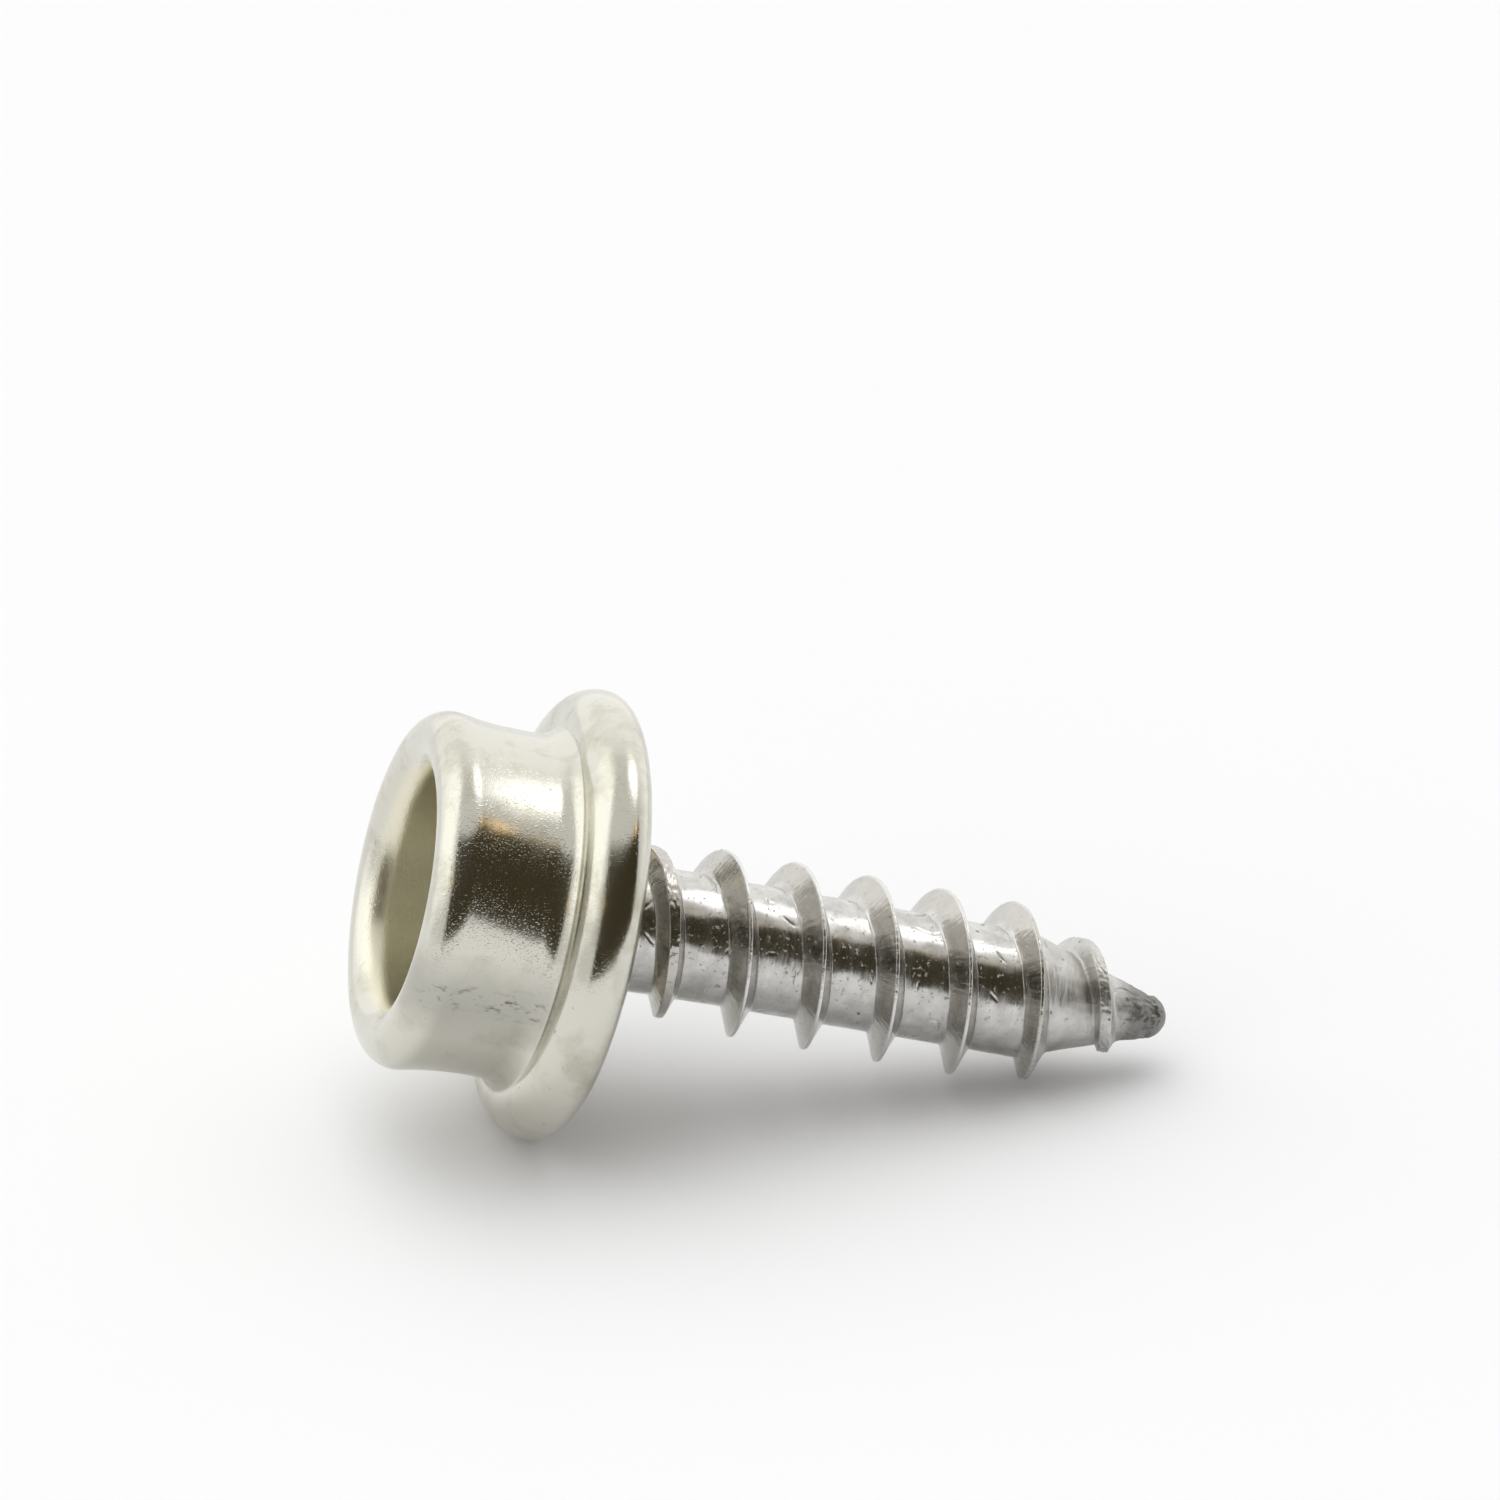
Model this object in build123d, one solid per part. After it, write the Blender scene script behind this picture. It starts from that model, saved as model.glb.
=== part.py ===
from build123d import *

import os
from math import atan2, ceil, cos, hypot, pi, radians, sin, sqrt, tan

# Press-stud (snap fastener) on a self-tapping screw, for a boat's canvas cover.
# Millimetres. The origin is the centre of the flange's seating plane. +Z is the
# axis, out of the stud's open mouth, and the screw hangs below in -Z.

# Sheet metal of the stud shell
SHEET = 0.42

# Rolled lip round the mouth: a half torus
LIP_CENTRE_R = 3.92
LIP_CENTRE_Z = 4.52
LIP_ROLL_R = 0.83
THROAT_R = LIP_CENTRE_R - LIP_ROLL_R

# Waisted barrel, with a small flare at its foot
WAIST_R = 4.575
WAIST_TOP_Z = 2.60
WAIST_FOOT_Z = 2.25
CREASE_R = 4.86

# Beaded flange, curled under to a flat hem
BEAD_Z = 0.69
BEAD_TOP_R = 1.00
BEAD_LOW_R = BEAD_Z
FLANGE_R = 5.985
BEAD_TOP_CENTRE_R = FLANGE_R - BEAD_TOP_R
BEAD_LOW_CENTRE_R = FLANGE_R - BEAD_LOW_R
HEM_INNER_R = 4.35

# Washer that closes the base, on top of the hem
WASHER_Z = SHEET
WASHER_THICK = 0.50
WASHER_R = 5.20
WASHER_BORE_R = 2.55
WASHER_EDGE = 0.08

# Screw head, trapped between the washer and the throat's end
HEAD_Z = WASHER_Z + WASHER_THICK
HEAD_THICK = 1.00
HEAD_TOP_Z = HEAD_Z + HEAD_THICK
HEAD_R = 4.10
HEAD_EDGE = 0.15
NECK_FILLET = 0.30

# Cruciform driving recess in the head
RECESS_TOP_R = 2.20
RECESS_TIP_R = 0.60
RECESS_DEPTH = 2.40
RECESS_WING = 0.90

# Screw shank, from its neck to its blunt tip
ROOT_R = 1.665
NECK_R = 1.72
NECK_END_Z = -3.0
TAPER_Z = -12.0
POINT_Z = -14.5
POINT_R = 0.86
NOSE_Z = -15.4
NOSE_R = 0.58
TIP_Z = -15.97
TIP_FLAT_R = 0.16

# Thread: right hand, one start. Turns are counted from the crest's pass over +X
# nearest the head, downwards.
PITCH = 2.02
CREST_R = 2.435
FIRST_CREST_Z = -1.29
CREST_HALF_WIDTH = 0.05
WORN_HALF_WIDTH = 0.19
FLANK_ANGLE = 25.0
THREAD_BURY = 0.30
STRETCH_TURNS = 0.5
SPANS_PER_STRETCH = 6
# Crest radius along the thread, as (turns, radius); the ends lie inside the shank
CREST_PROFILE = (
    (-0.45, 1.50),
    (-0.10, 2.20),
    (0.50, 2.25),
    (1.00, CREST_R),
    (5.00, 2.40),
    (5.50, 2.20),
    (6.00, 1.76),
    (6.50, 1.12),
    (6.80, 0.55),
)
WORN_TURNS = 0.75


def circles_meet(centre_a, radius_a, centre_b, radius_b):
    """The point where two circles cross, on the side of the shell's axis."""
    span_r = centre_b[0] - centre_a[0]
    span_z = centre_b[1] - centre_a[1]
    span = hypot(span_r, span_z)
    along = (span**2 + radius_a**2 - radius_b**2) / (2 * span)
    aside = sqrt(radius_a**2 - along**2)
    r = centre_a[0] + (along * span_r - aside * span_z) / span
    z = centre_a[1] + (along * span_z + aside * span_r) / span
    return (r, z)


def arc(centre, radius, start, end):
    """The circular edge about a centre from one point to the other, the short way."""
    first = atan2(start[1] - centre[1], start[0] - centre[0])
    last = atan2(end[1] - centre[1], end[0] - centre[0])
    turn = (last - first + pi) % (2 * pi) - pi
    middle = first + turn / 2
    via = (centre[0] + radius * cos(middle), centre[1] + radius * sin(middle))
    return Edge.make_three_point_arc(at(start), at(via), at(end))


def at(point):
    """A point of the section, given as (radius, height)."""
    return Vector(point[0], 0, point[1])


def line(start, end):
    return Edge.make_line(at(start), at(end))


def lathe(edges):
    """The solid of revolution about Z of a closed section."""
    return revolve(Face(Wire(edges)), axis=Axis.Z)


def skin(depth):
    """The shell's surface at a depth below its outside, from the throat to the hem."""
    lip = (LIP_CENTRE_R, LIP_CENTRE_Z)
    lip_r = LIP_ROLL_R - depth
    to_waist = WAIST_R - LIP_CENTRE_R
    drop = LIP_CENTRE_Z - WAIST_TOP_Z
    waist_arc = (to_waist**2 + drop**2 - LIP_ROLL_R**2) / (2 * (LIP_ROLL_R - to_waist))
    waist = (WAIST_R + waist_arc, WAIST_TOP_Z)
    lean = atan2(drop, waist[0] - lip[0])
    bead_top = (BEAD_TOP_CENTRE_R, BEAD_Z)
    bead_low = (BEAD_LOW_CENTRE_R, BEAD_Z)
    crease_z = BEAD_Z + sqrt(BEAD_TOP_R**2 - (BEAD_TOP_CENTRE_R - CREASE_R) ** 2)
    flare_out = CREASE_R - WAIST_R
    flare_arc = ((WAIST_FOOT_Z - crease_z) ** 2 + flare_out**2) / (2 * flare_out)
    flare = (WAIST_R + flare_arc, WAIST_FOOT_Z)

    throat_end = (THROAT_R + depth, HEAD_TOP_Z)
    throat_top = (THROAT_R + depth, LIP_CENTRE_Z)
    crown = (LIP_CENTRE_R, LIP_CENTRE_Z + lip_r)
    shoulder = (lip[0] + lip_r * cos(lean), lip[1] - lip_r * sin(lean))
    barrel_top = (WAIST_R - depth, WAIST_TOP_Z)
    barrel_foot = (WAIST_R - depth, WAIST_FOOT_Z)
    crease = circles_meet(bead_top, BEAD_TOP_R - depth, flare, flare_arc + depth)
    rim = (FLANGE_R - depth, BEAD_Z)
    under = (BEAD_LOW_CENTRE_R, depth)
    hem = (HEM_INNER_R, depth)
    edges = [
        line(throat_end, throat_top),
        arc(lip, lip_r, throat_top, crown),
        arc(lip, lip_r, crown, shoulder),
        arc(waist, waist_arc + depth, shoulder, barrel_top),
        line(barrel_top, barrel_foot),
        arc(flare, flare_arc + depth, barrel_foot, crease),
        arc(bead_top, BEAD_TOP_R - depth, crease, rim),
        arc(bead_low, BEAD_LOW_R - depth, rim, under),
        line(under, hem),
    ]
    return edges, throat_end, hem


def stud_shell():
    """One drawn sheet: throat, lip, barrel, bead and hem."""
    outside, outer_throat, outer_hem = skin(0)
    inside, inner_throat, inner_hem = skin(SHEET)
    ends = [line(outer_throat, inner_throat), line(outer_hem, inner_hem)]
    return lathe(outside + inside + ends)


def base_washer():
    """Flat ring that carries the screw head on the shell's hem."""
    ring = Pos(0, 0, WASHER_Z) * extrude(Circle(WASHER_R) - Circle(WASHER_BORE_R), WASHER_THICK)
    return chamfer(ring.edges().filter_by(GeomType.CIRCLE), WASHER_EDGE)


def shank_radius(z):
    """Root radius of the shank at a height, before its rounded nose."""
    if z > NECK_END_Z:
        return NECK_R + (ROOT_R - NECK_R) * z / NECK_END_Z
    if z > TAPER_Z:
        return ROOT_R
    if z > POINT_Z:
        return ROOT_R + (POINT_R - ROOT_R) * (TAPER_Z - z) / (TAPER_Z - POINT_Z)
    return POINT_R + (NOSE_R - POINT_R) * (POINT_Z - z) / (POINT_Z - NOSE_Z)


def shank():
    """Head and root of the screw, without its thread."""
    head_foot = (HEAD_R, HEAD_Z + HEAD_EDGE)
    head_shoulder = (HEAD_R, HEAD_TOP_Z - HEAD_EDGE)
    neck_round = (NECK_R + NECK_FILLET, HEAD_Z - NECK_FILLET)
    outline = [
        line((0, HEAD_TOP_Z), (HEAD_R - HEAD_EDGE, HEAD_TOP_Z)),
        line((HEAD_R - HEAD_EDGE, HEAD_TOP_Z), head_shoulder),
        line(head_shoulder, head_foot),
        line(head_foot, (HEAD_R - HEAD_EDGE, HEAD_Z)),
        line((HEAD_R - HEAD_EDGE, HEAD_Z), (NECK_R + NECK_FILLET, HEAD_Z)),
        arc(neck_round, NECK_FILLET, (NECK_R + NECK_FILLET, HEAD_Z), (NECK_R, HEAD_Z - NECK_FILLET)),
        line((NECK_R, HEAD_Z - NECK_FILLET), (NECK_R, 0)),
        line((NECK_R, 0), (ROOT_R, NECK_END_Z)),
        line((ROOT_R, NECK_END_Z), (ROOT_R, TAPER_Z)),
        line((ROOT_R, TAPER_Z), (POINT_R, POINT_Z)),
        line((POINT_R, POINT_Z), (NOSE_R, NOSE_Z)),
        line((NOSE_R, NOSE_Z), (TIP_FLAT_R, TIP_Z)),
        line((TIP_FLAT_R, TIP_Z), (0, TIP_Z)),
        line((0, TIP_Z), (0, HEAD_TOP_Z)),
    ]
    return lathe(outline)


def crest_radius(turns):
    """Crest radius at a count of turns, straight between the profile's entries."""
    for (start, low), (end, high) in zip(CREST_PROFILE, CREST_PROFILE[1:]):
        if turns <= end:
            return low + (high - low) * (turns - start) / (end - start)
    return CREST_PROFILE[-1][1]


def thread_section(turns):
    """Corners of the thread's section at a count of turns, as (radius, height)."""
    z = FIRST_CREST_Z - PITCH * turns
    top = crest_radius(turns)
    foot = shank_radius(z) - THREAD_BURY
    wear = max(0.0, 1 - max(turns, 0.0) / WORN_TURNS)
    half_crest = CREST_HALF_WIDTH + (WORN_HALF_WIDTH - CREST_HALF_WIDTH) * wear
    half_foot = half_crest + max(top - foot, 0.0) * tan(radians(FLANK_ANGLE))
    return ((foot, z + half_foot), (top, z + half_crest), (top, z - half_crest), (foot, z - half_foot))


def ridge(first, last):
    """A closed stretch of the thread's ridge: four ruled flanks between helical curves."""
    rails = [[], [], [], []]
    for step in range(SPANS_PER_STRETCH + 1):
        turns = first + (last - first) * step / SPANS_PER_STRETCH
        heading = -2 * pi * turns
        for rail, (r, z) in zip(rails, thread_section(turns)):
            rail.append(Vector(r * cos(heading), r * sin(heading), z))
    curves = [Edge.make_spline(rail) for rail in rails]
    flanks = [Face.make_surface_from_curves(curves[i], curves[(i + 1) % 4]) for i in range(4)]
    start_cap = Face(Wire.make_polygon([rail[0] for rail in rails]))
    end_cap = Face(Wire.make_polygon([rail[-1] for rail in rails]))
    return Solid(Shell(flanks + [start_cap, end_cap]))


def thread():
    """The whole thread, as short stretches that meet end to end."""
    first = CREST_PROFILE[0][0]
    length = CREST_PROFILE[-1][0] - first
    count = ceil(length / STRETCH_TURNS)
    return [ridge(first + length * i / count, first + length * (i + 1) / count) for i in range(count)]


def driving_recess():
    """Tapered cruciform pocket, cut down from the head's top."""
    cross = Rectangle(2 * RECESS_TOP_R, RECESS_WING) + Rectangle(RECESS_WING, 2 * RECESS_TOP_R)
    prism = Pos(0, 0, HEAD_TOP_Z) * extrude(cross, -RECESS_DEPTH)
    cone = Pos(0, 0, HEAD_TOP_Z - RECESS_DEPTH / 2) * Cone(RECESS_TIP_R, RECESS_TOP_R, RECESS_DEPTH)
    return prism & cone


def screw():
    """Self-tapping screw with a disc head."""
    blank = shank() - driving_recess()
    return blank.fuse(*thread())


os.makedirs("parts", exist_ok=True)
NODES = {"stud_shell": stud_shell, "base_washer": base_washer, "screw": screw}
for name, make in NODES.items():
    export_step(make(), f"parts/{name}.step")
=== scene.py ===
from math import atan2, ceil, cos, degrees, exp, hypot, pi, radians, sin, sqrt, tan

import bmesh
import bpy
from mathutils import Matrix, Vector, noise


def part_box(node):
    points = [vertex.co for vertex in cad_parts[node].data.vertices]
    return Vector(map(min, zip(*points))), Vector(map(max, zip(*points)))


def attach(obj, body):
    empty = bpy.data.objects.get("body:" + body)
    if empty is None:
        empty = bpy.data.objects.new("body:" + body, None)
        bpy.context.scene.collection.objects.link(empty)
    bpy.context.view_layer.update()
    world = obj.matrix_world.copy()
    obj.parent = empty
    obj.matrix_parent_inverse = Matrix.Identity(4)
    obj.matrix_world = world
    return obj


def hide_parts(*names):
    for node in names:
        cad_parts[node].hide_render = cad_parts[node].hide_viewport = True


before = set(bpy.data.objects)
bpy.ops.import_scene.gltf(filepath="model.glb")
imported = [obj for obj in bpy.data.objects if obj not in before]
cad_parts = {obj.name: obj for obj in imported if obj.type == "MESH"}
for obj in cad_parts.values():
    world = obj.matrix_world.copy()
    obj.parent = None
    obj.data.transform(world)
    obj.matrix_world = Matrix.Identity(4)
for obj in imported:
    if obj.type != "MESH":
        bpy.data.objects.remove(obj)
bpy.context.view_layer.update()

# Press-stud on a self-tapping screw, lying on its side. The row frame has its origin at
# the centre of the flange's seating plane and +Z out of the stud's open mouth.

MM = 0.001
SHELL_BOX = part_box("stud_shell")
WASHER_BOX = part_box("base_washer")
SCREW_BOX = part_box("screw")

# Sizes read from the frame, in mm
FLANGE_R = SHELL_BOX[1].x / MM
MOUTH_Z = SHELL_BOX[1].z / MM
WASHER_R = WASHER_BOX[1].x / MM
WASHER_Z = WASHER_BOX[0].z / MM
WASHER_TOP_Z = WASHER_BOX[1].z / MM
HEAD_R = SCREW_BOX[1].x / MM
HEAD_TOP_Z = SCREW_BOX[1].z / MM
TIP_Z = SCREW_BOX[0].z / MM
SHEET = WASHER_Z

# Cleaning of the meshes, in m
MERGE_DISTANCE = 1e-7
DEGENERATE_DISTANCE = 1e-8

# Section of the stud shell, in mm. The sheet's outside lies a skin's depth within the CAD solid's.
SHELL_SEGMENTS = 300
OUTSIDE_STEP = 0.05
INSIDE_STEP = 0.12
SKIN = 0.012
SLOW_DENT = 0.010
FINE_DENT = 0.004
LIP_ROLL_R = 0.83
LIP_Z = MOUTH_Z - LIP_ROLL_R
LIP_R = 3.92
WAIST_R = 4.575
WAIST_TOP_Z = 2.60
WAIST_FOOT_Z = 2.25
CREASE_R = 4.86
BEAD_TOP_R = 1.00
BEAD_Z = 0.69
HEM_INNER_R = 4.35

# Washer, in mm
WASHER_SEGMENTS = 240
WASHER_STEP = 0.08
WASHER_BORE_R = 2.55
WASHER_EDGE = 0.08

# Screw head and its cruciform recess, in mm
HEAD_SEGMENTS = 300
HEAD_RINGS = 110
HEAD_EDGE = 0.15
NECK_FILLET = 0.30
ROUNDING_STEP = 0.04
UNDERSIDE_STEP = 0.1
NECK_STEP = 0.05
RECESS_TOP_R = 2.20
RECESS_TIP_R = 0.60
RECESS_DEPTH = 2.40
RECESS_HALF_WING = 0.45
RECESS_WALL_SLOPE = 9.0

# Screw shank and thread, in mm. Turns are counted downwards from the first crest over +X.
SCREW_SEGMENTS = 300
ROOT_R = 1.665
NECK_R = 1.72
NECK_END_Z = -3.0
TAPER_Z = -12.0
POINT_Z = -14.5
POINT_R = 0.86
NOSE_Z = -15.4
NOSE_R = 0.58
NOSE_END_R = 0.02
PITCH = 2.02
CREST_R = 2.425
FIRST_CREST_Z = -1.29
FLANK_SLOPE = tan(radians(25.0))
CREST_HALF_WIDTH = 0.045
WORN_HALF_WIDTH = 0.19
WORN_TURNS = 0.75
LAST_TURN = 5.35
LAST_SPREAD_TURNS = 0.3
LAST_HALF_WIDTH = 0.15
ROOT_FILLET = 0.10
# Rows of half a turn, from halfway between two crests to the crest, as (from, to, count)
HALF_TURN_ROWS = ((PITCH / 2, 0.50, 18), (0.50, 0.30, 8), (0.30, 0.06, 14), (0.06, 0.0, 3))
# Crest radius along the thread, as (turns, radius)
CREST_PROFILE = (
    (-0.55, 1.45),
    (-0.10, 2.20),
    (0.50, 2.25),
    (1.00, CREST_R),
    (5.00, 2.40),
    (5.50, 2.20),
    (6.00, 1.76),
    (6.50, 1.12),
    (6.85, 0.50),
)

# Wear of the screw's crest, root and tip, in mm. A vector added to a noise's place only chooses
# another part of its pattern.
CREST_ROUGH = 0.022
WORN_ROUGH = 0.020
CREST_CHIP = 0.05
CHIP_LEVEL = 0.45
CREST_ROUND = 0.012
ROOT_WAVE = 0.016
ROOT_LUMP = 0.010
ROOT_TEAR = 0.030
TEAR_LEVEL = 0.12
TEAR_WIDTH = 0.018
TIP_LUMP = 0.06
TIP_PIT = 0.036
TIP_WEAR_Z = POINT_Z + 0.1
TIP_WEAR_RUN = 0.8
TIP_LEAST_R = 0.015

# Camera: its angles to the part's axis, and its distances in m
ROLL = radians(10.1)
TILT = radians(15.4)
CAMERA_DISTANCE = 0.400
LENS_MM = 367.5
SENSOR_MM = 36.0
CLIP_START = 0.01
CLIP_END = 20.0
# The seat's centre as seen, right of and below the frame's middle, in frame widths
SEAT_RIGHT = -0.1076
SEAT_BELOW = 0.1127


# ---------------------------------------------------------------- mesh helpers

def piece_from(name, verts, faces, node):
    """A smooth-shaded mesh piece that rides on the part and stands for a CAD node."""
    mesh = bpy.data.meshes.new(name)
    mesh.from_pydata([tuple(c * MM for c in v) for v in verts], [], faces)
    tidy = bmesh.new()
    tidy.from_mesh(mesh)
    bmesh.ops.remove_doubles(tidy, verts=tidy.verts, dist=MERGE_DISTANCE)
    bmesh.ops.dissolve_degenerate(tidy, edges=tidy.edges, dist=DEGENERATE_DISTANCE)
    loose = [v for v in tidy.verts if not v.link_faces]
    bmesh.ops.delete(tidy, geom=loose, context="VERTS")
    bmesh.ops.recalc_face_normals(tidy, faces=tidy.faces)
    tidy.to_mesh(mesh)
    tidy.free()
    for polygon in mesh.polygons:
        polygon.use_smooth = True
    piece = bpy.data.objects.new(name, mesh)
    bpy.context.scene.collection.objects.link(piece)
    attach(piece, "root")
    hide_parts(node)
    return piece


def arc_points(centre, radius, first, last, step):
    """Points of an arc as (r, z), from one angle to another in degrees, a step apart in mm."""
    count = max(3, ceil(abs(radians(last - first)) * radius / step))
    angles = [radians(first + (last - first) * i / count) for i in range(count + 1)]
    return [(centre[0] + radius * cos(a), centre[1] + radius * sin(a)) for a in angles]


def line_points(start, end, step):
    """Points of a straight run, without its first one."""
    count = max(1, ceil(hypot(end[0] - start[0], end[1] - start[1]) / step))
    return [
        (start[0] + (end[0] - start[0]) * i / count, start[1] + (end[1] - start[1]) * i / count)
        for i in range(1, count + 1)
    ]


def lathe(section, segments, shape=None):
    """Vertices and faces of a closed section turned about Z. shape moves each vertex."""
    verts = []
    for r, z in section:
        for i in range(segments):
            turn = 2 * pi * i / segments
            point = Vector((r * cos(turn), r * sin(turn), z))
            verts.append(shape(point) if shape else point)
    faces = []
    rings = len(section)
    for ring in range(rings):
        after = (ring + 1) % rings
        for i in range(segments):
            j = (i + 1) % segments
            here = ring * segments
            there = after * segments
            faces.append((here + i, here + j, there + j, there + i))
    return verts, faces


# ---------------------------------------------------------------- stud shell

def circle_angle(centre, point):
    """Direction of a point from a centre, in degrees."""
    return degrees(atan2(point[1] - centre[1], point[0] - centre[0]))


def circles_meet(centre_a, radius_a, centre_b, radius_b):
    """The point where two circles cross, on the side of the shell's axis."""
    span_r = centre_b[0] - centre_a[0]
    span_z = centre_b[1] - centre_a[1]
    span = hypot(span_r, span_z)
    along = (span**2 + radius_a**2 - radius_b**2) / (2 * span)
    aside = sqrt(radius_a**2 - along**2)
    r = centre_a[0] + (along * span_r - aside * span_z) / span
    z = centre_a[1] + (along * span_z + aside * span_r) / span
    return (r, z)


def shell_side(depth, step):
    """The sheet's surface at a depth below its outside, from the throat's end to the hem."""
    lip = (LIP_R, LIP_Z)
    to_waist = WAIST_R - LIP_R
    drop = LIP_Z - WAIST_TOP_Z
    waist_arc = (to_waist**2 + drop**2 - LIP_ROLL_R**2) / (2 * (LIP_ROLL_R - to_waist))
    waist = (WAIST_R + waist_arc, WAIST_TOP_Z)
    lean = circle_angle(waist, lip) - 180
    bead_top = (FLANGE_R - BEAD_TOP_R, BEAD_Z)
    bead_low = (FLANGE_R - BEAD_Z, BEAD_Z)
    crease_z = BEAD_Z + sqrt(BEAD_TOP_R**2 - (bead_top[0] - CREASE_R) ** 2)
    flare_out = CREASE_R - WAIST_R
    flare_arc = ((WAIST_FOOT_Z - crease_z) ** 2 + flare_out**2) / (2 * flare_out)
    flare = (WAIST_R + flare_arc, WAIST_FOOT_Z)
    crease = circles_meet(bead_top, BEAD_TOP_R - depth, flare, flare_arc + depth)
    flare_end = circle_angle(flare, crease) % 360
    bead_start = circle_angle(bead_top, crease)
    throat_r = LIP_R - LIP_ROLL_R + depth
    points = [(throat_r, HEAD_TOP_Z)]
    points += line_points(points[0], (throat_r, LIP_Z), step)
    points += arc_points(lip, LIP_ROLL_R - depth, 180, lean, step)[1:]
    points += arc_points(waist, waist_arc + depth, 180 + lean, 180, step)[1:]
    points += line_points(points[-1], (WAIST_R - depth, WAIST_FOOT_Z), step)
    points += arc_points(flare, flare_arc + depth, 180, flare_end, step)[1:]
    points += arc_points(bead_top, BEAD_TOP_R - depth, bead_start, 0, step)[1:]
    points += arc_points(bead_low, BEAD_Z - depth, 0, -90, step)[1:]
    points += line_points(points[-1], (HEM_INNER_R, depth), step)
    return points


def hammered(point):
    """Slow unevenness of drawn sheet metal, up to about a hundredth of a millimetre inwards."""
    flat = Vector((point.x, point.y, 0)).normalized()
    slow = noise.noise(point * 0.55 + Vector((3.1, 7.7, 1.3)))
    fine = noise.noise(point * 1.9 + Vector((11.0, 2.0, 5.0)))
    return point - flat * (SLOW_DENT * (slow + 1) / 2 + FINE_DENT * (fine + 1) / 2)


def make_shell():
    """The shell's sheet: its outside from the throat to the hem, and back along its inside."""
    section = shell_side(SKIN, OUTSIDE_STEP) + shell_side(SHEET, INSIDE_STEP)[::-1]
    verts, faces = lathe(section, SHELL_SEGMENTS, hammered)
    return piece_from("stud_shell_sheet", verts, faces, "stud_shell")


def make_washer():
    """The ring that closes the base, with broken edges."""
    low = WASHER_Z + WASHER_EDGE
    high = WASHER_TOP_Z - WASHER_EDGE
    inner = WASHER_BORE_R + WASHER_EDGE
    outer = WASHER_R - WASHER_EDGE
    corners = [
        (WASHER_BORE_R, low), (WASHER_BORE_R, high), (inner, WASHER_TOP_Z), (outer, WASHER_TOP_Z),
        (WASHER_R, high), (WASHER_R, low), (outer, WASHER_Z), (inner, WASHER_Z),
    ]
    section = []
    for start, end in zip(corners, corners[1:] + corners[:1]):
        section += line_points(start, end, WASHER_STEP)
    verts, faces = lathe(section, WASHER_SEGMENTS)
    return piece_from("base_washer_ring", verts, faces, "base_washer")


# ---------------------------------------------------------------- screw

def shank_radius(z):
    """Root radius at a height, from the neck to the tip's rounded end."""
    if z > NECK_END_Z:
        return NECK_R + (ROOT_R - NECK_R) * min(z, 0.0) / NECK_END_Z
    if z > TAPER_Z:
        return ROOT_R
    if z > POINT_Z:
        down = (TAPER_Z - z) / (TAPER_Z - POINT_Z)
        return ROOT_R + (POINT_R - ROOT_R) * down
    if z > NOSE_Z:
        return POINT_R + (NOSE_R - POINT_R) * (POINT_Z - z) / (POINT_Z - NOSE_Z)
    down = min((NOSE_Z - z) / (NOSE_Z - TIP_Z), 1.0)
    return max(NOSE_R * sqrt(max(1 - down**2, 0.0)), NOSE_END_R)


def crest_radius(turns):
    """Crest radius at a count of turns."""
    if turns <= CREST_PROFILE[0][0]:
        return CREST_PROFILE[0][1]
    for (start, low), (end, high) in zip(CREST_PROFILE, CREST_PROFILE[1:]):
        if turns <= end:
            return low + (high - low) * (turns - start) / (end - start)
    return CREST_PROFILE[-1][1]


def ridge_radius(turns, off):
    """Radius of the thread's ridge at a height off its crest line, before it meets the root."""
    wear = max(0.0, 1 - max(turns, 0.0) / WORN_TURNS)
    spread = min(max(turns - LAST_TURN, 0.0) / LAST_SPREAD_TURNS, 1.0)
    half = CREST_HALF_WIDTH + (WORN_HALF_WIDTH - CREST_HALF_WIDTH) * wear
    half += (LAST_HALF_WIDTH - CREST_HALF_WIDTH) * spread
    aside = abs(off)
    rough = noise.noise(Vector((turns * 90, off * 12, 4.0)))
    chip = noise.noise(Vector((turns * 23, 9.0, 1.0)))
    roughness = CREST_ROUGH + WORN_ROUGH * max(wear, spread)
    top = crest_radius(turns) - roughness * (rough + 1) / 2 - CREST_CHIP * max(chip - CHIP_LEVEL, 0)
    if aside <= half:
        return top - CREST_ROUND * (aside / half) ** 2
    return top - CREST_ROUND - (aside - half) / FLANK_SLOPE


def smooth_max(a, b, blend):
    """The larger of two values, with a rounded change from one to the other."""
    mix = max(blend - abs(a - b), 0.0) / blend
    return max(a, b) + mix * mix * blend / 4


def root_wear(turn, z):
    """Small dents, ridges and tears of the rolled root."""
    place = Vector((1.7 * cos(turn), 1.7 * sin(turn), z))
    slow = noise.noise(place * 1.4 + Vector((5.0, 1.0, 2.0)))
    fold = noise.noise(Vector((place.x * 0.8, place.y * 0.8, z * 1.3)) + Vector((31.0, 8.0, 3.0)))
    broken = min(max(noise.noise(place * 2.3 + Vector((6.0, 17.0, 9.0))) * 4 - 0.4, 0.0), 1.0)
    lumps = noise.noise(Vector((place.x * 3.0, place.y * 3.0, z * 1.8)) + Vector((2.0, 3.0, 40.0)))
    tear = broken * exp(-(((fold - TEAR_LEVEL) / TEAR_WIDTH) ** 2))
    return ROOT_WAVE * slow + ROOT_LUMP * lumps - ROOT_TEAR * tear


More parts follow.
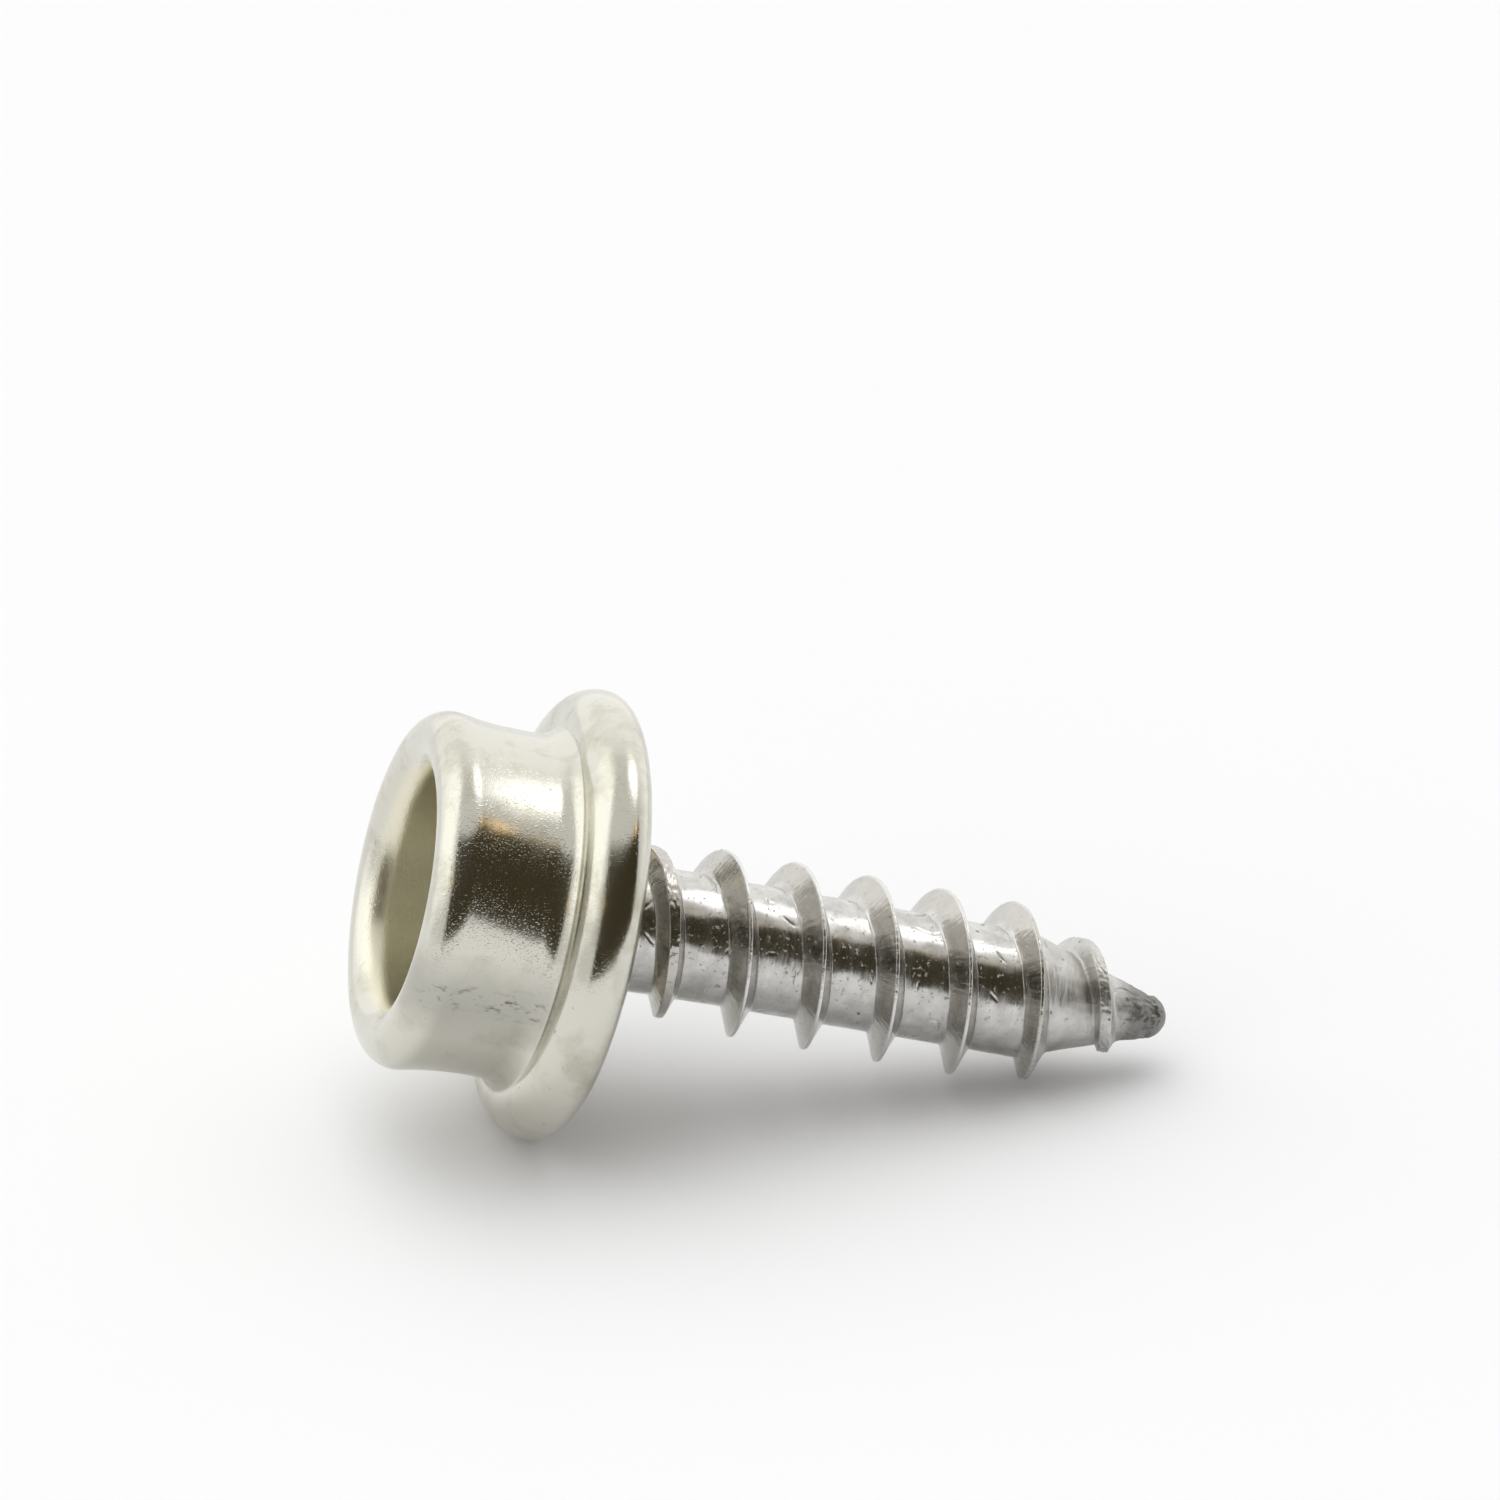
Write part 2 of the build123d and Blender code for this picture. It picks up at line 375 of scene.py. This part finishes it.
def tip_wear(turn, z):
    """Lumps and pits of the blunt tip."""
    near = min(max((TIP_WEAR_Z - z) / TIP_WEAR_RUN, 0.0), 1.0)
    place = Vector((0.7 * cos(turn), 0.7 * sin(turn), z))
    lump = noise.noise(place * 2.6) * TIP_LUMP
    pit = noise.noise(place * 8.0) * TIP_PIT
    return near * (lump + pit)


def screw_radius(turn, turns, off, z):
    """Radius of the screw's surface."""
    core = shank_radius(z)
    if z < NOSE_Z:
        return max(core + tip_wear(turn, z) * core / NOSE_R, TIP_LEAST_R)
    core += root_wear(turn, z) + tip_wear(turn, z)
    return smooth_max(core, ridge_radius(turns, off), ROOT_FILLET)


def strip_offsets():
    """Heights off the crest line of one turn's rows, close together on the crest and flanks."""
    upper = []
    for start, end, count in HALF_TURN_ROWS:
        upper += [start + (end - start) * i / count for i in range(count)]
    lower = [-v for v in upper[1:]][::-1]
    return upper + [0.0] + lower


def screw_strip():
    """The thread and root as one helical strip of rows, clamped flat at both ends."""
    offsets = strip_offsets()
    rows_per_turn = len(offsets)
    first_turn = -2
    last_turn = ceil((FIRST_CREST_Z - TIP_Z) / PITCH) + 1
    rows = [(turn, off) for turn in range(first_turn, last_turn) for off in offsets]
    verts = []
    for turn_number, off in rows:
        for i in range(SCREW_SEGMENTS):
            turns = turn_number + i / SCREW_SEGMENTS
            z = min(max(FIRST_CREST_Z - PITCH * turns + off, TIP_Z), WASHER_Z)
            heading = -2 * pi * i / SCREW_SEGMENTS
            r = screw_radius(heading, turns, off, z)
            if z >= WASHER_Z:
                r = NECK_R
            if z <= TIP_Z:
                r = 0.0
            verts.append((r * cos(heading), r * sin(heading), z))
    faces = []
    for row in range(len(rows) - 1):
        for i in range(SCREW_SEGMENTS):
            here = row * SCREW_SEGMENTS + i
            if i < SCREW_SEGMENTS - 1:
                faces.append((here, here + 1, here + 1 + SCREW_SEGMENTS, here + SCREW_SEGMENTS))
                continue
            wrap = (row + rows_per_turn) * SCREW_SEGMENTS
            if row + rows_per_turn + 1 < len(rows):
                faces.append((here, wrap, wrap + SCREW_SEGMENTS, here + SCREW_SEGMENTS))
    return verts, faces


def recess_depth(x, y):
    """Depth of the cruciform recess below the head's top."""
    cone = RECESS_DEPTH * (RECESS_TOP_R - hypot(x, y)) / (RECESS_TOP_R - RECESS_TIP_R)
    wall = RECESS_WALL_SLOPE * (RECESS_HALF_WING - min(abs(x), abs(y)))
    return min(max(min(cone, wall), 0.0), RECESS_DEPTH)


def screw_head():
    """Disc head: its recessed top, its edge and its underside down to the neck."""
    foot_z = WASHER_TOP_Z
    centre_r = HEAD_R * 0.001
    flat_r = HEAD_R - HEAD_EDGE
    round_r = NECK_R + NECK_FILLET
    section = [(centre_r + i * flat_r / HEAD_RINGS, HEAD_TOP_Z) for i in range(HEAD_RINGS)]
    section += arc_points((flat_r, HEAD_TOP_Z - HEAD_EDGE), HEAD_EDGE, 90, 0, ROUNDING_STEP)
    section += arc_points((flat_r, foot_z + HEAD_EDGE), HEAD_EDGE, 0, -90, ROUNDING_STEP)
    section += line_points((flat_r, foot_z), (round_r, foot_z), UNDERSIDE_STEP)
    section += arc_points((round_r, foot_z - NECK_FILLET), NECK_FILLET, 90, 180, ROUNDING_STEP)
    section += line_points((NECK_R, foot_z - NECK_FILLET), (NECK_R, WASHER_Z), NECK_STEP)

    def shape(point):
        if point.z > HEAD_TOP_Z - 1e-6:
            point.z -= recess_depth(point.x, point.y)
        return point

    verts, faces = lathe(section, HEAD_SEGMENTS, shape)
    faces = faces[: (len(section) - 1) * HEAD_SEGMENTS]
    faces.append(tuple(range(HEAD_SEGMENTS)))
    return verts, faces


def make_screw():
    """The screw: its threaded strip, and its head, which meet at the neck."""
    verts, faces = screw_strip()
    head_verts, head_faces = screw_head()
    shift = len(verts)
    verts += head_verts
    faces += [tuple(i + shift for i in face) for face in head_faces]
    return piece_from("screw_body", verts, faces, "screw")


# ---------------------------------------------------------------- materials

# Nickel: its colours, and what smudges, the mouth's wall (painted light) and a painted band of reflected
# shadow multiply them by
BRIGHT_NICKEL = (0.658, 0.645, 0.572)
PLAIN_NICKEL = (0.62, 0.60, 0.535)
SMUDGED = (0.80, 0.79, 0.74)
# Painted light: the mouth's inner wall is coloured lighter than the plate
WALL_PAINTED_LIGHT = (1.22, 1.19, 1.06)
# Painted shade: darkens the band where the barrel reflects the part's shadow on the floor
REFLECTED_SHADE = (0.72, 0.72, 0.72)
SCRATCH_COLOUR = (0.40, 0.37, 0.32)
MARK_COLOUR = (0.16, 0.14, 0.12)
NICKEL_SPECK = (0.35, 0.31, 0.26)

# Where the nickel's looks change: radii and a height in mm, and headings in degrees
BARREL_LIMIT = (4.95, 4.75)
WALL_LIMIT = (3.50, 3.12)
WALL_TOP = (5.2, 5.0)
# Headings of the painted band of reflected shadow low on the barrel's front, and of the dirt marks along it
REFLECTED_SHADE_BAND = (-134, -113, 7.0)
WORN_STREAK = (-128, -119, 3.0)

# Stainless steel: the root's two tones, and those of flanks, crests, tip and specks
ROOT_DULL = (0.50, 0.488, 0.465)
ROOT_BRIGHT = (0.65, 0.638, 0.612)
FLANK_STEEL = (0.53, 0.512, 0.475)
CREST_STEEL = (0.74, 0.74, 0.73)
TIP_DARK = (0.12, 0.115, 0.11)
STEEL_SPECK = (0.10, 0.095, 0.09)

# Where the steel's looks change: radii and heights in mm
FLANK_START = (1.74, 1.86)
CREST_START = (2.33, 2.41)
TIP_START = (-14.3, -14.9)
TAPER_START = (-11.6, -13.2)


class Nodes:
    """The node tree of a new material or world, with short calls for the nodes used here."""

    def __init__(self, name, world=False):
        self.made = bpy.data.worlds.new(name) if world else bpy.data.materials.new(name)
        self.made.use_nodes = True
        self.tree = self.made.node_tree
        self.shader = self.tree.nodes["Background" if world else "Principled BSDF"]
        self.place = self.tree.nodes.new("ShaderNodeTexCoord").outputs["Generated" if world else "Object"]

    def link(self, source, target):
        self.tree.links.new(source, target)

    def math(self, kind, *values):
        node = self.tree.nodes.new("ShaderNodeMath")
        node.operation = kind
        for socket, value in zip(node.inputs, values):
            if isinstance(value, (int, float)):
                socket.default_value = value
            else:
                self.link(value, socket)
        return node.outputs[0]

    def noise(self, size_mm, detail=2.0, vector=None, rough=0.5):
        """Noise with features about size_mm across, from 0 to 1."""
        node = self.tree.nodes.new("ShaderNodeTexNoise")
        node.inputs["Scale"].default_value = 1 / (size_mm * MM)
        node.inputs["Detail"].default_value = detail
        node.inputs["Roughness"].default_value = rough
        self.link(vector or self.place, node.inputs["Vector"])
        return node.outputs["Fac"]

    def ramp(self, value, low, high, at_low=0.0, at_high=1.0):
        """value from low to high, mapped to at_low to at_high and clamped."""
        node = self.tree.nodes.new("ShaderNodeMapRange")
        node.inputs["From Min"].default_value = low
        node.inputs["From Max"].default_value = high
        node.inputs["To Min"].default_value = at_low
        node.inputs["To Max"].default_value = at_high
        self.link(value, node.inputs["Value"])
        return node.outputs["Result"]

    def zone(self, value, limits, most=1.0):
        """0 before the first of two limits in mm, most after the second, and rising between them."""
        return self.ramp(value, limits[0] * MM, limits[1] * MM, 0.0, most)

    def band(self, value, low, high, soft):
        """1 where value is between low and high, falling smoothly to 0 outside them."""
        rise = self.ramp(value, low - soft, low + soft)
        fall = self.ramp(value, high - soft, high + soft, 1.0, 0.0)
        return self.math("MULTIPLY", rise, fall)

    def sector(self, angle, limits):
        """1 where an angle is between two limits in degrees. The third is the edges' softness."""
        return self.band(angle, radians(limits[0]), radians(limits[1]), radians(limits[2]))

    def along(self, direction):
        """How far the point or direction goes along a fixed direction."""
        node = self.tree.nodes.new("ShaderNodeVectorMath")
        node.operation = "DOT_PRODUCT"
        node.inputs[1].default_value = direction
        self.link(self.place, node.inputs[0])
        return node.outputs["Value"]

    def mix(self, amount, first, second):
        """A colour between two, by amount."""
        node = self.tree.nodes.new("ShaderNodeMix")
        node.data_type = "RGBA"
        self.link(amount, node.inputs["Factor"])
        for socket, value in ((node.inputs[6], first), (node.inputs[7], second)):
            if isinstance(value, tuple):
                socket.default_value = (*value, 1.0)
            else:
                self.link(value, socket)
        return node.outputs[2]

    def vector(self, x, y, z):
        node = self.tree.nodes.new("ShaderNodeCombineXYZ")
        for socket, value in zip(node.inputs, (x, y, z)):
            if isinstance(value, (int, float)):
                socket.default_value = value
            else:
                self.link(value, socket)
        return node.outputs[0]

    def split(self):
        """x, y and z of the point, in metres."""
        node = self.tree.nodes.new("ShaderNodeSeparateXYZ")
        self.link(self.place, node.inputs[0])
        return node.outputs[0], node.outputs[1], node.outputs[2]

    def bump(self, height, distance_mm, under=None):
        """A normal bent by a height, over another normal if one is given."""
        node = self.tree.nodes.new("ShaderNodeBump")
        node.inputs["Distance"].default_value = distance_mm * MM
        node.inputs["Strength"].default_value = 1.0
        self.link(height, node.inputs["Height"])
        if under:
            self.link(under, node.inputs["Normal"])
        return node.outputs[0]


def shaded(tint, factors):
    """A colour with each of its channels multiplied."""
    return tuple(c * k for c, k in zip(tint, factors))


def nickel(name, tint):
    """Bright nickel plate over drawn brass: fine grain, smudges and scratches, with painted light on the
    mouth's wall and a painted band of reflected shadow low on the barrel, with dirt marks along it.
    """
    n = Nodes(name)
    n.shader.inputs["Metallic"].default_value = 1.0
    x, y, z = n.split()
    radius = n.math("SQRT", n.math("ADD", n.math("MULTIPLY", x, x), n.math("MULTIPLY", y, y)))
    heading = n.math("ARCTAN2", y, x)

    # Where: within the barrel's radius, and the matt wall inside the mouth
    barrel = n.zone(radius, BARREL_LIMIT)
    inner_wall = n.math("MULTIPLY", n.zone(radius, WALL_LIMIT), n.zone(z, WALL_TOP))
    smudge = n.ramp(n.noise(1.6, 4.0, rough=0.65), 0.48, 0.66)
    speck = n.ramp(n.noise(0.16, 1.0), 0.76, 0.80)

    # How rough
    bare = n.math("ADD", n.ramp(barrel, 0.0, 1.0, 0.13, 0.16), n.math("MULTIPLY", inner_wall, 0.17))
    rough = n.math("ADD", bare, n.math("MULTIPLY", smudge, 0.08))
    n.link(n.math("ADD", rough, n.math("MULTIPLY", speck, 0.25)), n.shader.inputs["Roughness"])

    # What colour: plate, smudges, the mouth's wall painted lighter, scratches, a painted band of reflected
    # shadow and the dirt marks along it
    plate = n.mix(smudge, tint, shaded(tint, SMUDGED))
    # Painted light: the mouth's inner wall gets a lighter, warmer copy of the plate's colour, standing in
    # for light inside the mouth; its matt finish is real
    colour = n.mix(inner_wall, plate, shaded(tint, WALL_PAINTED_LIGHT))
    scuff = n.noise(0.5, 3.0, n.vector(n.math("MULTIPLY", heading, 0.6 * MM), z, radius))
    scratch = n.math("MULTIPLY", n.band(scuff, 0.497, 0.503, 0.004), n.ramp(smudge, 0.2, 0.9))
    colour = n.mix(n.math("MULTIPLY", scratch, 0.45), colour, SCRATCH_COLOUR)
    # Painted shade: a darker band low on the barrel's front stands in for the reflection of the part's own
    # shadow on the floor; the marks along it are dirt
    shade_band = n.math("MULTIPLY", n.sector(heading, REFLECTED_SHADE_BAND), barrel)
    colour = n.mix(shade_band, colour, shaded(tint, REFLECTED_SHADE))
    around = n.vector(n.math("MULTIPLY", heading, 11 * MM), z, 0.0)
    dirt = n.ramp(n.noise(0.60, 5.0, around, 0.7), 0.53, 0.64)
    marks = n.math("MULTIPLY", n.math("MULTIPLY", dirt, shade_band), n.sector(heading, WORN_STREAK))
    colour = n.mix(marks, colour, MARK_COLOUR)
    colour = n.mix(n.math("MULTIPLY", speck, 0.6), colour, NICKEL_SPECK)
    n.link(colour, n.shader.inputs["Base Color"])

    # Fine relief, strongest on the barrel
    peel = n.math("MULTIPLY", n.noise(0.16, 2.0), n.ramp(barrel, 0.0, 1.0, 0.25, 1.0))
    grain = n.ramp(n.noise(0.055, 1.0), 0.56, 0.84)
    grain = n.math("MULTIPLY", grain, n.ramp(barrel, 0.0, 1.0, 0.45, 1.0))
    n.link(n.bump(grain, 0.0044, under=n.bump(peel, 0.0012)), n.shader.inputs["Normal"])
    return n.made


def stainless(name):
    """Rolled stainless steel: radially brushed flanks, scratched bright root, dull pitted tip."""
    n = Nodes(name)
    n.shader.inputs["Metallic"].default_value = 1.0
    x, y, z = n.split()
    heading = n.math("ARCTAN2", y, x)
    radius = n.math("SQRT", n.math("ADD", n.math("MULTIPLY", x, x), n.math("MULTIPLY", y, y)))

    # Where: outside the root, on the crests, and on the tip
    flank = n.zone(radius, FLANK_START)
    crest = n.zone(radius, CREST_START)
    tip = n.zone(z, TIP_START)
    on_root = n.math("SUBTRACT", 1.0, flank)

    # Patterns: brushing round the flanks, drawing along the root, patches, pits and specks
    around = n.math("MULTIPLY", heading, 1.7 * MM)
    ringed = n.vector(around, n.math("MULTIPLY", radius, 0.08), n.math("MULTIPLY", z, 0.1))
    brushed = n.noise(0.07, 3.0, ringed)
    drawn = n.noise(0.16, 4.0, n.vector(n.math("MULTIPLY", around, 0.12), z, radius), 0.6)
    patch = n.noise(0.55, 3.0, rough=0.6)
    pits = n.ramp(n.noise(0.12, 3.0, rough=0.7), 0.62, 0.74)
    speck = n.math("MULTIPLY", n.ramp(n.noise(0.22, 2.0), 0.70, 0.76), 0.8)

    # What colour
    tone = n.mix(n.ramp(patch, 0.35, 0.65), ROOT_DULL, ROOT_BRIGHT)
    tone = n.mix(n.math("MULTIPLY", flank, 0.8), tone, FLANK_STEEL)
    tone = n.mix(crest, tone, CREST_STEEL)
    tone = n.mix(n.math("MULTIPLY", tip, n.ramp(pits, 0.0, 1.0, 0.70, 0.98)), tone, TIP_DARK)
    tone = n.mix(speck, tone, STEEL_SPECK)
    n.link(tone, n.shader.inputs["Base Color"])

    # How rough: the root and the flanks, and more on the tapered end and the tip
    bright = n.math("MULTIPLY", n.ramp(drawn, 0.3, 0.75, 0.17, 0.30), on_root)
    satin = n.math("MULTIPLY", n.ramp(brushed, 0.3, 0.7, 0.16, 0.27), flank)
    taper = n.zone(z, TAPER_START, 0.16)
    rough = n.math("ADD", n.math("ADD", n.math("ADD", bright, satin), taper), n.math("MULTIPLY", tip, 0.08))
    n.link(rough, n.shader.inputs["Roughness"])

    # Fine relief
    low = n.bump(n.math("MULTIPLY", drawn, on_root), 0.012)
    mid = n.bump(n.math("MULTIPLY", brushed, flank), 0.010, under=low)
    rolled = n.bump(n.math("MULTIPLY", n.noise(0.09, 3.0, rough=0.7), crest), 0.020, under=mid)
    top = n.bump(n.math("MULTIPLY", pits, n.ramp(tip, 0.0, 1.0, -0.25, -1.0)), 0.04, under=rolled)
    n.link(top, n.shader.inputs["Normal"])
    return n.made


# ---------------------------------------------------------------- camera, floor and light

# The camera's axes in the row frame
RIGHT = Vector((sin(ROLL), -sin(TILT) * cos(ROLL), -cos(TILT) * cos(ROLL)))
UP = Vector((cos(ROLL), sin(TILT) * sin(ROLL), cos(TILT) * sin(ROLL)))
BACK = Vector((0, -cos(TILT), sin(TILT)))

# The floor rises away from the camera by this angle
FLOOR_RISE = radians(25.0)
FLOOR_SIZE = 6.0
FLOOR_GREY = (0.90, 0.90, 0.90)
FLOOR_PALE = (0.92, 0.92, 0.92)


def toward(right, up, back):
    """A direction from the part, given in the camera's axes."""
    return (RIGHT * right + UP * up + BACK * back).normalized()


# What the metal reflects: the light of each direction round the part. Azimuth 0 is back to the
# camera and 90 is its right. A patch has two azimuths, two elevations and the softness of its
# edges, in degrees.
TENT_BEHIND = (1.20, 1.20, 1.19)
TENT_FRONT = (0.74, 0.735, 0.71)
LEFT_WALL = (1.50, 1.50, 1.46)
OPENING = (0.048, 0.038, 0.018)
GLINT = (1.60, 1.10, 0.50)
LEFT_WALL_AT = ((-110, -48), (8, 70), 8.0)
OPENING_AT = ((-35, 73), (-60, 38), 3.0)
# Small warm lights, as (azimuth, elevation, half width)
GLINTS_AT = ((62, 37, 5.0), (46, 38, 2.0), (-33, 13, 3.0), (-22, 20, 1.0))
GLINT_SOFT = 1.5
# From behind the part to in front of it, as cosines of the angle from the camera's direction
TENT_CHANGE = (-0.4, 0.2)
SOFTBOX = toward(0.47, 0.88, 0.09)
SOFTBOX_HALF = radians(8.0)
SOFTBOX_SOFT = radians(8.0)
SOFTBOX_GLOW = (3.8, 3.8, 3.8)

# The soft light of all other rays: from above, a little to the left, with a low fill on the left
OVERHEAD = toward(-0.20, 0.95, 0.15)
SKY_LOW = (0.36, 0.36, 0.36)
SKY_HIGH = (1.79, 1.79, 1.79)
LEFT_FILL = toward(-0.95, 0.25, 0.35)
FILL_GLOW = (1.50, 1.50, 1.50)
# Where each grows from nothing to its full light, as cosines of the angle from its direction
OVERHEAD_LOBE = (0.5, 0.95)
FILL_LOBE = (0.55, 0.90)


def aim(thing, right, up, back, location):
    """Place a thing and turn its axes to three directions."""
    thing.matrix_world = Matrix((
        (right.x, up.x, back.x, location.x),
        (right.y, up.y, back.y, location.y),
        (right.z, up.z, back.z, location.z),
        (0, 0, 0, 1),
    ))


def make_camera():
    """The camera, set so that the seat's centre falls at its place in the frame."""
    data = bpy.data.cameras.new("camera")
    data.lens = LENS_MM
    data.sensor_width = SENSOR_MM
    data.clip_start = CLIP_START
    data.clip_end = CLIP_END
    camera = bpy.data.objects.new("camera", data)
    bpy.context.scene.collection.objects.link(camera)
    width = CAMERA_DISTANCE * SENSOR_MM / LENS_MM
    seat = RIGHT * (SEAT_RIGHT * width) - UP * (SEAT_BELOW * width) - BACK * CAMERA_DISTANCE
    aim(camera, RIGHT, UP, BACK, -seat)
    bpy.context.scene.camera = camera


def floor_frame():
    """The floor's normal, and two directions in it: the camera's right, and away from it."""
    normal = UP * cos(FLOOR_RISE) + BACK * sin(FLOOR_RISE)
    away = -BACK * cos(FLOOR_RISE) + UP * sin(FLOOR_RISE)
    return normal, RIGHT, away


def make_floor(pieces):
    """A pale floor tangent to the lowest point of the part, seen from above only."""
    normal, right, away = floor_frame()
    lowest = min(normal.dot(v.co) for piece in pieces for v in piece.data.vertices)
    mesh = bpy.data.meshes.new("floor")
    half = FLOOR_SIZE / 2
    corners = [(-half, -half), (half, -half), (half, half), (-half, half)]
    places = [normal * lowest + right * a + away * b for a, b in corners]
    mesh.from_pydata(places, [], [(0, 1, 2, 3)])
    floor = bpy.data.objects.new("floor", mesh)
    bpy.context.scene.collection.objects.link(floor)
    n = Nodes("floor_paper")
    n.shader.inputs["Roughness"].default_value = 0.9
    n.shader.inputs["Specular IOR Level"].default_value = 0.1
    n.link(n.mix(n.noise(40.0, 2.0), FLOOR_GREY, FLOOR_PALE), n.shader.inputs["Base Color"])
    clear = n.tree.nodes.new("ShaderNodeBsdfTransparent")
    side = n.tree.nodes.new("ShaderNodeNewGeometry")
    choose = n.tree.nodes.new("ShaderNodeMixShader")
    n.link(side.outputs["Backfacing"], choose.inputs[0])
    n.link(n.shader.outputs[0], choose.inputs[1])
    n.link(clear.outputs[0], choose.inputs[2])
    n.link(choose.outputs[0], n.tree.nodes["Material Output"].inputs["Surface"])
    mesh.materials.append(n.made)


def make_world():
    """A white tent with a softbox and a dark opening for the metal, and a plain sky for the rest."""
    n = Nodes("studio", world=True)
    right, up, back = n.along(RIGHT), n.along(UP), n.along(BACK)
    azimuth = n.math("ARCTAN2", right, back)
    elevation = n.math("ARCSINE", up)

    def window(az, el, soft):
        """A patch of the tent, between two azimuths and two elevations in degrees."""
        return n.math("MULTIPLY", n.sector(azimuth, (*az, soft)), n.sector(elevation, (*el, soft)))

    def choose(amount, first, second):
        """One of two lights, by a yes-or-no value."""
        node = n.tree.nodes.new("ShaderNodeMixShader")
        for socket, source in zip(node.inputs, (amount, first, second)):
            n.link(source, socket)
        return node.outputs[0]

    tent = n.mix(n.ramp(back, *TENT_CHANGE), TENT_BEHIND, TENT_FRONT)
    colour = n.mix(window(*LEFT_WALL_AT), tent, LEFT_WALL)
    colour = n.mix(window(*OPENING_AT), colour, OPENING)
    for az, el, half in GLINTS_AT:
        glint = window((az - half, az + half), (el - half / 2, el + half / 2), GLINT_SOFT)
        colour = n.mix(glint, colour, GLINT)
    box_side = SOFTBOX.cross(BACK).normalized()
    box_top = box_side.cross(SOFTBOX).normalized()
    ahead = n.along(SOFTBOX)
    spread = n.band(n.math("ARCTAN2", n.along(box_side), ahead), -SOFTBOX_HALF, SOFTBOX_HALF, SOFTBOX_SOFT)
    lift = n.band(n.math("ARCTAN2", n.along(box_top), ahead), -SOFTBOX_HALF, SOFTBOX_HALF, SOFTBOX_SOFT)
    colour = n.mix(n.math("MULTIPLY", spread, lift), colour, SOFTBOX_GLOW)
    n.link(colour, n.shader.inputs["Color"])
    sky = n.tree.nodes.new("ShaderNodeBackground")
    daylight = n.mix(n.ramp(n.along(OVERHEAD), *OVERHEAD_LOBE), SKY_LOW, SKY_HIGH)
    n.link(n.mix(n.ramp(n.along(LEFT_FILL), *FILL_LOBE), daylight, FILL_GLOW), sky.inputs["Color"])
    plain = n.tree.nodes.new("ShaderNodeBackground")
    plain.inputs["Color"].default_value = (1.0, 1.0, 1.0, 1.0)
    path = n.tree.nodes.new("ShaderNodeLightPath")
    lit = choose(path.outputs["Is Glossy Ray"], sky.outputs[0], n.shader.outputs[0])
    seen = choose(path.outputs["Is Camera Ray"], lit, plain.outputs[0])
    n.link(seen, n.tree.nodes["World Output"].inputs["Surface"])
    bpy.context.scene.world = n.made


def main():
    make_camera()
    shell = make_shell()
    washer = make_washer()
    screw = make_screw()
    shell.data.materials.append(nickel("nickel_bright", BRIGHT_NICKEL))
    washer.data.materials.append(nickel("nickel_plain", PLAIN_NICKEL))
    screw.data.materials.append(stainless("stainless_rolled"))
    make_floor([shell, screw])
    make_world()
    bpy.context.scene.view_settings.view_transform = "Standard"


main()
